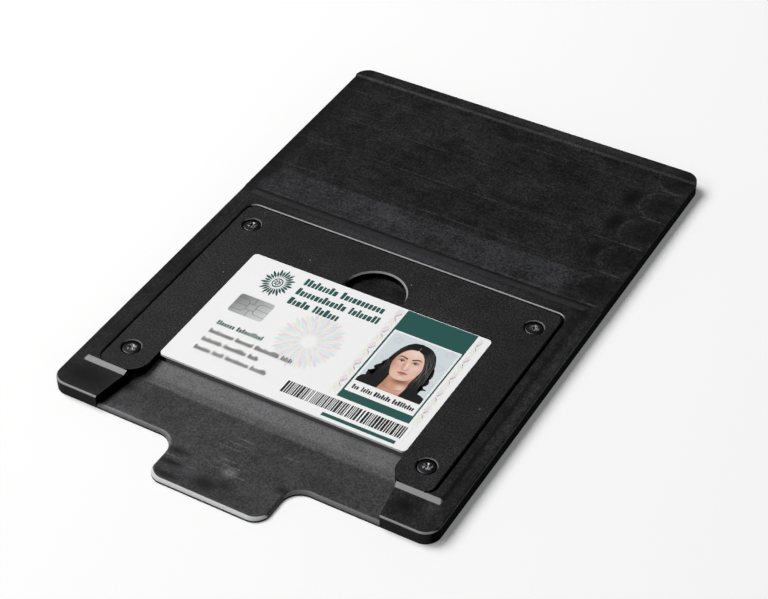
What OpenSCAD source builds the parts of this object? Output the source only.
// Card carrier of an id card printer: a milled black plate with a pull handle, a screwed-down
// nest plate with a card pocket, and one printed chip card lying in the pocket.
// Millimetres, +Z up, the handle points to -Y. The origin is the middle of the bounding box,
// on the underside. Lengths along Y are stacked from the front edge of the plate.

/* [Card] */
// Width of the card, along X
card_w = 85.6; // [60:0.1:110]
// Length of the card, along Y
card_l = 53.98; // [44:0.01:80]
// Thickness of the card
card_t = 0.76; // [0.72:0.01:1.2]
// Corner radius of the card
card_corner_r = 1.5; // [0.5:0.1:4]
// Thickness of each clear overlay film
overlay_t = 0.08; // [0.04:0.01:0.12]

/* [Chip module] */
// Width of the contact plate, along X
chip_w = 12.3; // [11:0.1:14]
// Length of the contact plate, along Y
chip_l = 8.8; // [8:0.1:12]
// Corner radius of the contact plate
chip_corner_r = 0.9; // [0.3:0.1:2]
// Distance from the left edge of the card to the contact plate
chip_left = 7; // [5:0.1:14]
// Distance from the rear edge of the card to the contact plate
chip_rear = 18.4; // [12:0.1:26]
// Thickness of the metal contacts
contact_t = 0.07; // [0.03:0.01:0.1]
// Width of the grooves that part the contacts
groove_w = 0.2; // [0.1:0.01:0.35]
// Width of the middle pad
middle_pad_w = 3.1; // [2:0.1:4]
// Length of the middle pad
middle_pad_l = 2.75; // [2:0.05:3.5]
// Distance from the chip's centre line to the long grooves beside the middle pad
side_groove_y = 2.75; // [2.2:0.05:3.4]
// Radius of the bend that joins a corner of the middle pad to its long groove
groove_bend_r = 1.6; // [1.2:0.05:2.4]
// Thickness of the epoxy tape under the contacts
tape_t = 0.11; // [0.06:0.01:0.16]
// Clearance round the module in its window
chip_gap = 0.05; // [0.02:0.01:0.12]
// Width of the potting under the tape
potting_w = 7.6; // [6:0.1:9]
// Length of the potting under the tape
potting_l = 5.6; // [4:0.1:6.6]
// Height of the potting under the tape
potting_h = 0.36; // [0.3:0.01:0.38]
// Clearance round and under the potting in the card
potting_gap = 0.05; // [0.02:0.01:0.06]
// Corner radius of the potting
potting_corner_r = 1; // [0.4:0.1:2]
// Width of the silicon die
die_w = 2.4; // [1.2:0.1:4]
// Length of the silicon die
die_l = 1.9; // [1.2:0.1:3.4]
// Thickness of the silicon die
die_t = 0.18; // [0.1:0.01:0.24]

/* [Nest plate] */
// Thickness of the nest plate
nest_t = 2.5; // [2.3:0.1:5]
// Mean width of the two legs, from the pocket to the side edge
leg_w = 14.5; // [12.5:0.1:24]
// Distance from the middle of the card to the middle of the nest plate, along X
nest_shift = -0.45; // [-0.8:0.05:0.8]
// Length of each leg in front of the card
leg_l = 11; // [9:0.1:20]
// Length of the nest plate behind the pocket
rear_margin = 20.5; // [15:0.1:34]
// Corner radius of the nest plate
nest_corner_r = 3.5; // [2:0.1:6]
// Radius where the inner side of a leg turns into its front edge
leg_corner_r = 6.5; // [3:0.1:7]
// Clearance round the card in its pocket
pocket_gap = 0.2; // [0.1:0.05:0.4]
// Height of the nest plate above the card's face
pocket_rise = 0.04; // [0:0.01:0.2]
// Radius of the thumb hole behind the card
thumb_r = 10.3; // [7:0.1:12]
// Distance from the rear edge of the card to the centre of the thumb hole
thumb_back = 1.4; // [0:0.1:3]
// Chamfer round the thumb hole
thumb_chamfer = 0.5; // [0.2:0.1:0.8]
// Break on the outer top edge of the nest plate and on the rim of its recess
nest_break = 0.3; // [0.1:0.05:0.4]

/* [Screws] */
// Nominal thread diameter
thread_d = 3; // [2:0.5:3]
// Radial clearance of the thread in its tapped hole
thread_gap = 0.05; // [0.02:0.01:0.1]
// Diameter of the hole that passes the thread
pass_d = 3.4; // [3.2:0.1:3.8]
// Diameter of the screw head
head_d = 5.5; // [4.8:0.1:5.8]
// Height of the screw head
head_h = 1.5; // [1.2:0.1:1.7]
// Height of the crown on top of the head
crown_h = 0.25; // [0.15:0.05:0.6]
// Radius of the head's round rim
rim_r = 0.45; // [0.2:0.05:0.7]
// Diameter of the counterbore
bore_d = 6.3; // [6.1:0.1:8]
// Depth of the crown below the face of the nest plate
head_sink = 0.1; // [0:0.05:0.3]
// Chamfer round the counterbore
bore_chamfer = 0.3; // [0.1:0.1:0.5]
// Tip-to-tip span of the cross recess
cross_span = 3; // [2:0.1:3.6]
// Width of a wing of the cross recess
cross_wing = 0.75; // [0.4:0.05:1]
// Depth of the cross recess
cross_depth = 0.9; // [0.5:0.1:1.1]
// Distance from the side edge of the nest plate to a screw
screw_side = 6.2; // [5:0.1:7.5]
// Distance from the front or rear edge of the nest plate to a screw
screw_end = 9.25; // [7:0.05:12]
// Height of the screw tips above the underside
tip_rise = 0.3; // [0.1:0.1:1]

/* [Carrier plate] */
// Thickness of the floor under the nest plate
floor_t = 2.5; // [1.8:0.1:6]
// Depth of the nest plate's face below the top of the island
nest_sink = 0.3; // [0:0.05:0.8]
// Clearance in front of and behind the nest plate, and on its left, in its recess
nest_gap = 0.2; // [0.1:0.05:0.4]
// Clearance to the right of the nest plate
nest_right_gap = 1; // [0.1:0.05:1.2]
// Height of the island above the rails
island_h = 0.8; // [0.3:0.1:1.5]
// Flat land between the recess and the island's side slope
island_side_land = 2.6; // [1:0.05:8]
// Run of the island's side slope
island_side_run = 0.8; // [0.3:0.1:3]
// Flat land between the recess and the island's front slope
island_front_land = 0.1; // [0.1:0.05:3]
// Run of the island's front slope
island_front_run = 1.5; // [0.5:0.1:4]
// Flat land between the recess and the island's rear slope
island_rear_land = 4.4; // [1:0.05:12]
// Run of the island's rear slope
island_rear_run = 3.3; // [0.5:0.1:6]
// Corner radius of the island's foot
island_corner_r = 1; // [0.5:0.1:4]
// Width of the side rails
rail_w = 4; // [2:0.1:12]
// Length of the front blocks, from the front edge to the island
block_l = 11.7; // [6:0.1:24]
// Length of the rear flat, from the island to the ledge
rear_flat_l = 72.3; // [40:0.1:140]
// Length of the flat top of the rear ledge
ledge_l = 4.4; // [2:0.1:12]
// Height of the rear ledge above the rear flat
ledge_h = 0.7; // [0.2:0.1:0.8]
// Run of the slope up to the rear ledge
ledge_run = 0.6; // [0.2:0.1:3]
// Corner radius of the carrier plate
plate_corner_r = 5; // [2:0.5:10]
// Rounding of the top edge of the rails and front blocks
rail_edge_r = 0.6; // [0.3:0.1:1.4]
// Break on the top edges of the rear flat and ledge
rear_break = 0.2; // [0.1:0.05:0.4]

/* [Front channel and handle] */
// Thickness of the lip, which is the floor of the channel and of the handle
lip_t = 1.5; // [1:0.1:1.7]
// Width of the channel beyond each side of the pocket, at the foot of the island
channel_side = 3.7; // [1.5:0.1:6]
// Widening of each channel wall from the island to the front edge
channel_flare = 1.9; // [0:0.1:4]
// Length of the finger ramp in front of the card
ramp_l = 9.3; // [4:0.1:16]
// Width of the handle
handle_w = 39.7; // [24:0.1:70]
// Reach of the handle in front of the plate
handle_reach = 16.4; // [13:0.1:40]
// Radius of the handle's front corners
handle_corner_r = 5; // [1:0.5:8]
// Radius where the handle runs into the plate
handle_root_r = 6; // [1:0.5:7]
// Rounding of the top edge of the lip and handle
lip_edge_r = 1.2; // [0.2:0.1:1.4]

/* [Hidden] */
$fn = 96;
crown_fn = 720;  // facets of the large circle that a screw's crown is a piece of
over = 1;        // how far a cutter runs past the surface that it cuts
bed = 1;         // how deep the raised areas are sunk into the plate
rim_end = 75;    // how far round a front corner of the recess its edge break runs, in degrees

// Card pocket and nest plate
pocket_w = card_w + 2 * pocket_gap;
pocket_depth = card_t + pocket_rise;
nest_w = pocket_w + 2 * leg_w;
nest_l = leg_l + card_l + pocket_gap + rear_margin;
nest_top = floor_t + nest_t;
bore_depth = head_h + head_sink;

// Heights of the carrier
island_top = nest_top + nest_sink;
plate_t = island_top - island_h;
ledge_top = plate_t + ledge_h;
lip_round = min(lip_edge_r, lip_t - 0.3);
rail_round = min(rail_edge_r, plate_t - lip_t);

// Stations along Y, measured from the front edge of the plate
island_front_top = block_l + island_front_run;
recess_front = island_front_top + island_front_land;
nest_front = recess_front + nest_gap;
card_front = nest_front + leg_l;
card_rear = card_front + card_l;
nest_rear = nest_front + nest_l;
recess_rear = nest_rear + nest_gap;
island_rear_top = recess_rear + island_rear_land;
island_rear = island_rear_top + island_rear_run;
ledge_foot = island_rear + rear_flat_l;
plate_l = ledge_foot + ledge_run + ledge_l;

// Widths along X
recess_w = nest_w + nest_gap + nest_right_gap;
recess_shift = nest_shift + (nest_right_gap - nest_gap) / 2;
island_top_w = recess_w + 2 * island_side_land;
island_w = island_top_w + 2 * island_side_run;
plate_w = island_w + 2 * rail_w;
channel_half = pocket_w / 2 + channel_side;

// The front edge of the plate, in the part's own frame
front_y = handle_reach - (plate_l + handle_reach) / 2;

// Heights in the card
card_z = nest_top - pocket_depth;
card_top = card_z + card_t;
contact_z = card_top - contact_t;
tape_z = contact_z - tape_t;
potting_z = tape_z - potting_h;
chip_x = -card_w / 2 + chip_left;
chip_y = card_rear - chip_rear - chip_l;

// Screw places, in the frame that starts at the front edge of the plate
screw_left_x = nest_shift - nest_w / 2 + screw_side;
screw_right_x = nest_shift + nest_w / 2 - screw_side;
screw_front_y = nest_front + screw_end;
screw_rear_y = nest_rear - screw_end;
seat_z = nest_top - bore_depth;
shank_l = seat_z - tip_rise;

// ---- Shapes that repeat ----

// A rectangle centred on X that starts at Y 0, with four round corners
module rounded_rect(w, l, r) {
  translate([-w / 2 + r, 0]) square([w - 2 * r, l]);
  translate([-w / 2, r]) square([w, l - 2 * r]);
  for (x = [-w / 2 + r, w / 2 - r], y = [r, l - r]) translate([x, y]) circle(r);
}

// What a round corner of radius r takes off a square one: corner at the origin, body to +X +Y
module corner_waste(r) {
  difference() {
    translate([-over, -over]) square(r + over);
    translate([r, r]) circle(r);
    translate([r, -over]) square([over, r + over]);
    translate([-over, r]) square([r + over, over]);
  }
}

// The section that rounds an edge: edge at the origin, outside to +X, up to +Y
module round_waste(r) {
  difference() {
    translate([-r, -r]) square(r + over);
    translate([-r, -r]) circle(r);
  }
}

// The section that breaks an edge at 45 degrees, placed in the same way
module break_waste(c) {
  polygon([[-c, 0], [0, -c], [over, -c], [over, over], [-c, over]]);
}

// Runs a section along a straight top edge, along +Y from the origin, with the outside to +X
module edge_run(length) {
  translate([0, length, 0]) rotate([90, 0, 0]) linear_extrude(length) children();
}

// Runs a section round the top edge of an outer corner of radius corner_r, centred on the origin
module outer_turn(corner_r, start, turn) {
  rotate([0, 0, start]) rotate_extrude(angle = turn) translate([corner_r, 0]) children();
}

// Runs a section round the top edge of an inner corner of radius corner_r, centred on the origin
module inner_turn(corner_r, start, turn) {
  rotate([0, 0, start]) rotate_extrude(angle = turn)
    translate([corner_r, 0]) mirror([1, 0]) children();
}

// A section drawn in Y and Z, run along X over a width centred on the origin
module run_along_x(w) {
  rotate([90, 0, 90]) linear_extrude(w, center = true) children();
}

// Moves what is drawn from the front edge of the plate into the part's frame
module from_front() {
  translate([0, front_y, 0]) children();
}

// ---- Carrier plate ----

module plate_outline() {
  rounded_rect(plate_w, plate_l, plate_corner_r);
}

// The handle, with its two round roots, drawn in front of Y 0
module handle_outline() {
  half = handle_w / 2;
  translate([-half, handle_corner_r - handle_reach])
    square([handle_w, handle_reach - handle_corner_r + over]);
  translate([handle_corner_r - half, -handle_reach])
    square([handle_w - 2 * handle_corner_r, handle_corner_r + over]);
  for (side = [-1, 1]) {
    translate([side * (half - handle_corner_r), handle_corner_r - handle_reach])
      circle(handle_corner_r);
    scale([side, 1]) difference() {
      translate([half - over, -handle_root_r])
        square([handle_root_r + over, handle_root_r + over]);
      translate([half + handle_root_r, -handle_root_r]) circle(handle_root_r);
    }
  }
}

// The raised area round the nest, with a slope on each of its four sides
module island() {
  foot = plate_t - bed;
  intersection() {
    run_along_x(island_w + 2 * over)
      polygon([
        [block_l, foot], [block_l, plate_t], [island_front_top, island_top],
        [island_rear_top, island_top], [island_rear, plate_t], [island_rear, foot]
      ]);
    translate([0, island_rear + over, 0]) rotate([90, 0, 0])
      linear_extrude(island_rear - block_l + 2 * over)
        polygon([
          [-island_w / 2, foot], [-island_w / 2, plate_t], [-island_top_w / 2, island_top],
          [island_top_w / 2, island_top], [island_w / 2, plate_t], [island_w / 2, foot]
        ]);
    translate([0, block_l, 0]) linear_extrude(island_top + over)
      rounded_rect(island_w, island_rear - block_l, island_corner_r);
  }
}

// The raised bar across the rear end, with a slope in front of it
module ledge() {
  foot = plate_t - bed;
  intersection() {
    linear_extrude(ledge_top + over) plate_outline();
    run_along_x(plate_w + 2 * over)
      polygon([
        [ledge_foot, foot], [ledge_foot, plate_t], [ledge_foot + ledge_run, ledge_top],
        [plate_l + over, ledge_top], [plate_l + over, foot]
      ]);
  }
}

// The channel seen from above: its walls flare to the front, and its rear part is bounded by
// the shoulders that carry the legs of the nest plate
module channel_outline() {
  slope = channel_flare / block_l;
  front = -handle_reach - over;
  difference() {
    polygon([
      [-channel_half - slope * (block_l - front), front],
      [channel_half + slope * (block_l - front), front],
      [channel_half - slope * (card_front - block_l), card_front],
      [slope * (card_front - block_l) - channel_half, card_front]
    ]);
    for (side = [-1, 1]) scale([side, 1]) shoulder_outline();
  }
}

// The shoulder under the right leg, flush with the leg's inner side and its round corner
module shoulder_outline() {
  inner = pocket_w / 2;
  difference() {
    translate([inner, recess_front]) square([leg_w + over, card_front - recess_front + over]);
    translate([inner, nest_front]) corner_waste(leg_corner_r);
  }
}

// Everything above the lip and the finger ramp, inside the channel's outline
module channel() {
  roof = island_top + over;
  intersection() {
    linear_extrude(roof) channel_outline();
    run_along_x(plate_w)
      polygon([
        [-over, lip_t], [card_front - ramp_l, lip_t], [card_front, floor_t],
        [card_front, roof], [-over, roof]
      ]);
  }
}

// The recess that takes the nest plate
module nest_recess() {
  translate([recess_shift, recess_front, floor_t]) linear_extrude(island_top)
    rounded_rect(recess_w, recess_rear - recess_front, nest_corner_r + nest_gap);
}

// The edge break on the right half of the recess's rim, which leaves its front edge sharp
module recess_rim() {
  r = nest_corner_r + nest_gap;
  corner_x = recess_w / 2 - r;
  translate([corner_x, recess_front + r, island_top])
    inner_turn(r, 0, -rim_end) break_waste(nest_break);
  translate([recess_w / 2, recess_front + r, island_top]) mirror([1, 0, 0])
    edge_run(recess_rear - recess_front - 2 * r) break_waste(nest_break);
  translate([corner_x, recess_rear - r, island_top]) inner_turn(r, 0, 90) break_waste(nest_break);
  translate([corner_x, recess_rear, island_top]) rotate([0, 0, 90]) mirror([1, 0, 0])
    edge_run(corner_x) break_waste(nest_break);
}

// The edge break on the right half of the rear flat and the ledge
module rear_rim() {
  corner_x = plate_w / 2 - plate_corner_r;
  translate([plate_w / 2, island_rear, plate_t])
    edge_run(rear_flat_l) break_waste(rear_break);
  translate([corner_x, plate_l - plate_corner_r, ledge_top])
    outer_turn(plate_corner_r, 0, 90) break_waste(rear_break);
  translate([corner_x, plate_l, ledge_top]) rotate([0, 0, 90])
    edge_run(corner_x) break_waste(rear_break);
}

// Rounds the top edges of the right rail and of the front block before it
module rail_rounding() {
  corner_x = plate_w / 2 - plate_corner_r;
  translate([plate_w / 2, plate_corner_r, plate_t])
    edge_run(island_rear - plate_corner_r) round_waste(rail_round);
  translate([corner_x, plate_corner_r, plate_t])
    outer_turn(plate_corner_r, -90, 90) round_waste(rail_round);
  translate([channel_half, 0, plate_t]) rotate([0, 0, -90])
    edge_run(corner_x - channel_half) round_waste(rail_round);
}

// Rounds the top edge of the lip and handle on the right, with half the handle's front edge
module lip_rounding() {
  half = handle_w / 2;
  root_x = half + handle_root_r;
  translate([root_x, 0, lip_t]) rotate([0, 0, -90])
    edge_run(channel_half + channel_flare + over - root_x) round_waste(lip_round);
  translate([root_x, -handle_root_r, lip_t])
    inner_turn(handle_root_r, 90, 90) round_waste(lip_round);
  translate([half, handle_corner_r - handle_reach, lip_t])
    edge_run(handle_reach - handle_corner_r - handle_root_r) round_waste(lip_round);
  translate([half - handle_corner_r, handle_corner_r - handle_reach, lip_t])
    outer_turn(handle_corner_r, -90, 90) round_waste(lip_round);
  translate([0, -handle_reach, lip_t]) rotate([0, 0, -90])
    edge_run(half - handle_corner_r) round_waste(lip_round);
}

// Calls its children at each of the four screw places
module at_screws() {
  for (x = [screw_left_x, screw_right_x], y = [screw_front_y, screw_rear_y])
    translate([x, y, 0]) children();
}

module carrier_plate() {
  color([0.13, 0.13, 0.14]) from_front() difference() {
    union() {
      linear_extrude(plate_t) plate_outline();
      linear_extrude(lip_t) handle_outline();
      island();
      ledge();
    }
    nest_recess();
    channel();
    at_screws() translate([0, 0, -over]) cylinder(h = floor_t + 2 * over, d = thread_d);
    for (side = [0, 1]) mirror([side, 0, 0]) {
      rail_rounding();
      rear_rim();
    }
    translate([recess_shift, 0, 0]) for (side = [0, 1]) mirror([side, 0, 0]) recess_rim();
    intersection() {
      for (side = [0, 1]) mirror([side, 0, 0]) lip_rounding();
      linear_extrude(lip_t + 2 * over) channel_outline();
    }
  }
}

// ---- Nest plate ----

// The nest plate seen from above: a U whose legs reach past the front of the card
module nest_outline() {
  difference() {
    translate([nest_shift, nest_front]) rounded_rect(nest_w, nest_l, nest_corner_r);
    translate([-pocket_w / 2, nest_front - over]) square([pocket_w, leg_l + over]);
    for (side = [-1, 1]) scale([side, 1])
      translate([pocket_w / 2, nest_front]) corner_waste(leg_corner_r);
  }
}

// The card pocket seen from above: open to the front, with two round rear corners
module pocket_outline() {
  rear = card_rear + pocket_gap;
  difference() {
    translate([-pocket_w / 2, nest_front - over])
      square([pocket_w, rear - nest_front + over]);
    for (side = [-1, 1]) scale([side, -1])
      translate([-pocket_w / 2, -rear]) corner_waste(card_corner_r + pocket_gap);
  }
}

// A chamfer of size c round a hole of radius r, with its wide end at Z 0
module hole_chamfer(r, c) {
  translate([0, 0, -c]) cylinder(h = c + over, r1 = r, r2 = r + c + over);
}

// The edge break on the right half of the nest plate: its side and rear edges
module nest_rim() {
  corner_x = nest_w / 2 - nest_corner_r;
  translate([nest_w / 2, nest_front, nest_top])
    edge_run(nest_l - nest_corner_r) break_waste(nest_break);
  translate([corner_x, nest_rear - nest_corner_r, nest_top])
    outer_turn(nest_corner_r, 0, 90) break_waste(nest_break);
  translate([corner_x, nest_rear, nest_top]) rotate([0, 0, 90])
    edge_run(corner_x) break_waste(nest_break);
}

module nest_plate() {
  color([0.19, 0.19, 0.2]) from_front() difference() {
    translate([0, 0, floor_t]) linear_extrude(nest_t) nest_outline();
    translate([nest_shift, 0, 0]) for (side = [0, 1]) mirror([side, 0, 0]) nest_rim();
    translate([0, 0, card_z]) linear_extrude(pocket_depth + over) pocket_outline();
    translate([0, card_rear + thumb_back, 0]) {
      translate([0, 0, floor_t - over]) cylinder(h = nest_t + 2 * over, r = thumb_r);
      translate([0, 0, nest_top]) hole_chamfer(thumb_r, thumb_chamfer);
    }
    at_screws() {
      translate([0, 0, floor_t - over]) cylinder(h = nest_t, d = pass_d);
      translate([0, 0, seat_z]) cylinder(h = bore_depth + over, d = bore_d);
      translate([0, 0, nest_top]) hole_chamfer(bore_d / 2, bore_chamfer);
    }
  }
}

// ---- Screws ----

// The cross recess, cut down from Z 0 and narrowing to the bottom
module cross_recess() {
  intersection() {
    union() {
      translate([0, 0, -cross_depth / 2]) {
        cube([cross_span, cross_wing, cross_depth + over], center = true);
        cube([cross_wing, cross_span, cross_depth + over], center = true);
      }
    }
    translate([0, 0, -cross_depth])
      cylinder(h = 2 * cross_depth, r1 = cross_wing / 2, r2 = cross_span - cross_wing / 2);
  }
}

// Half the section of a screw head: a low crown that runs into a round rim
module head_section() {
  crown_r = (pow(head_d / 2, 2) + pow(crown_h, 2)) / (2 * crown_h);
  rim_x = head_d / 2 - rim_r;
  rim_z = head_h - crown_r + sqrt(pow(crown_r - rim_r, 2) - pow(rim_x, 2));
  square([head_d / 2, rim_z]);
  translate([rim_x, rim_z]) circle(rim_r);
  intersection() {
    square([rim_x * crown_r / (crown_r - rim_r), head_h]);
    translate([0, head_h - crown_r]) circle(crown_r, $fn = crown_fn);
  }
}

// One screw, seated in its counterbore: x and y are its place from the plate's front edge
module screw(x, y) {
  color([0.36, 0.36, 0.37]) from_front() translate([x, y, 0]) {
    difference() {
      translate([0, 0, seat_z]) rotate_extrude() head_section();
      translate([0, 0, seat_z + head_h]) cross_recess();
    }
    translate([0, 0, tip_rise]) cylinder(h = shank_l + 0.1, d = thread_d - 2 * thread_gap);
  }
}

// ---- Card ----

module card_outline() {
  translate([0, card_front]) rounded_rect(card_w, card_l, card_corner_r);
}

// A round-cornered field centred on the chip, of the chip's size grown by the given margin
module chip_field(grow) {
  translate([chip_x + chip_w / 2, chip_y - grow])
    rounded_rect(chip_w + 2 * grow, chip_l + 2 * grow, chip_corner_r + grow);
}

// A round-cornered field centred on the chip, of the potting's size grown by the given margin
module potting_field(grow) {
  translate([chip_x + chip_w / 2, chip_y + (chip_l - potting_l) / 2 - grow])
    rounded_rect(potting_w + 2 * grow, potting_l + 2 * grow, potting_corner_r + grow);
}

module card_core() {
  color([0.96, 0.96, 0.95]) from_front() difference() {
    translate([0, 0, card_z + overlay_t]) linear_extrude(card_t - 2 * overlay_t) card_outline();
    translate([0, 0, tape_z]) linear_extrude(card_t) chip_field(chip_gap);
    translate([0, 0, potting_z - potting_gap]) linear_extrude(card_t) potting_field(potting_gap);
  }
}

module card_front_overlay() {
  color([0.98, 0.98, 0.97]) from_front() difference() {
    translate([0, 0, card_top - overlay_t]) linear_extrude(overlay_t) card_outline();
    translate([0, 0, tape_z]) linear_extrude(card_t) chip_field(chip_gap);
  }
}

module card_back_overlay() {
  color([0.94, 0.94, 0.93]) from_front()
    translate([0, 0, card_z]) linear_extrude(overlay_t) card_outline();
}

// ---- Chip module ----

// A straight groove between two points
module groove(from, to) {
  run = to - from;
  translate(from) rotate(atan2(run[1], run[0]))
    translate([-groove_w / 2, -groove_w / 2]) square([norm(run) + groove_w, groove_w]);
}

// The bend between a corner of the middle pad and its long groove: a ring's sector, from the
// middle of the bend at the origin
module groove_bend(start) {
  reach = 3 * groove_bend_r;
  intersection() {
    difference() {
      circle(groove_bend_r + groove_w / 2);
      circle(groove_bend_r - groove_w / 2);
    }
    polygon([[0, 0], [0, reach], [-reach, reach], [reach * cos(start), reach * sin(start)]]);
  }
}

// The grooves of one quarter of the contact plate, from its centre to +X +Y
module quarter_grooves() {
  corner = [middle_pad_w / 2, middle_pad_l / 2];
  rise = side_groove_y - corner[1];
  run = sqrt(2 * groove_bend_r * rise - rise * rise);
  bend = corner + [run, rise - groove_bend_r];
  groove([0, corner[1]], corner);
  groove([corner[0], 0], corner);
  translate(bend) groove_bend(atan2(groove_bend_r - rise, -run));
  groove([bend[0], side_groove_y], [chip_w / 2 + over, side_groove_y]);
  groove([corner[0], 0], [chip_w / 2 + over, 0]);
  groove([0, corner[1]], [0, chip_l / 2 + over]);
}

module chip_contacts() {
  color([0.75, 0.75, 0.73]) from_front() translate([0, 0, contact_z]) linear_extrude(contact_t)
    difference() {
      chip_field(0);
      translate([chip_x + chip_w / 2, chip_y + chip_l / 2])
        for (sx = [-1, 1], sy = [-1, 1]) scale([sx, sy]) quarter_grooves();
    }
}

module chip_tape() {
  color([0.3, 0.3, 0.26]) from_front()
    translate([0, 0, tape_z]) linear_extrude(tape_t) chip_field(0);
}

module chip_die() {
  color([0.25, 0.27, 0.3]) from_front()
    translate([chip_x + (chip_w - die_w) / 2, chip_y + (chip_l - die_l) / 2, tape_z - die_t])
      cube([die_w, die_l, die_t]);
}

module chip_potting() {
  color([0.08, 0.08, 0.08]) from_front() difference() {
    translate([0, 0, potting_z]) linear_extrude(potting_h) potting_field(0);
    translate([chip_x + (chip_w - die_w) / 2, chip_y + (chip_l - die_l) / 2, tape_z - die_t])
      cube([die_w, die_l, die_t + over]);
  }
}

carrier_plate();
nest_plate();
screw(screw_left_x, screw_front_y);  // screw_front_left
screw(screw_right_x, screw_front_y);  // screw_front_right
screw(screw_left_x, screw_rear_y);  // screw_rear_left
screw(screw_right_x, screw_rear_y);  // screw_rear_right
card_core();
card_front_overlay();
card_back_overlay();
chip_contacts();
chip_tape();
chip_die();
chip_potting();
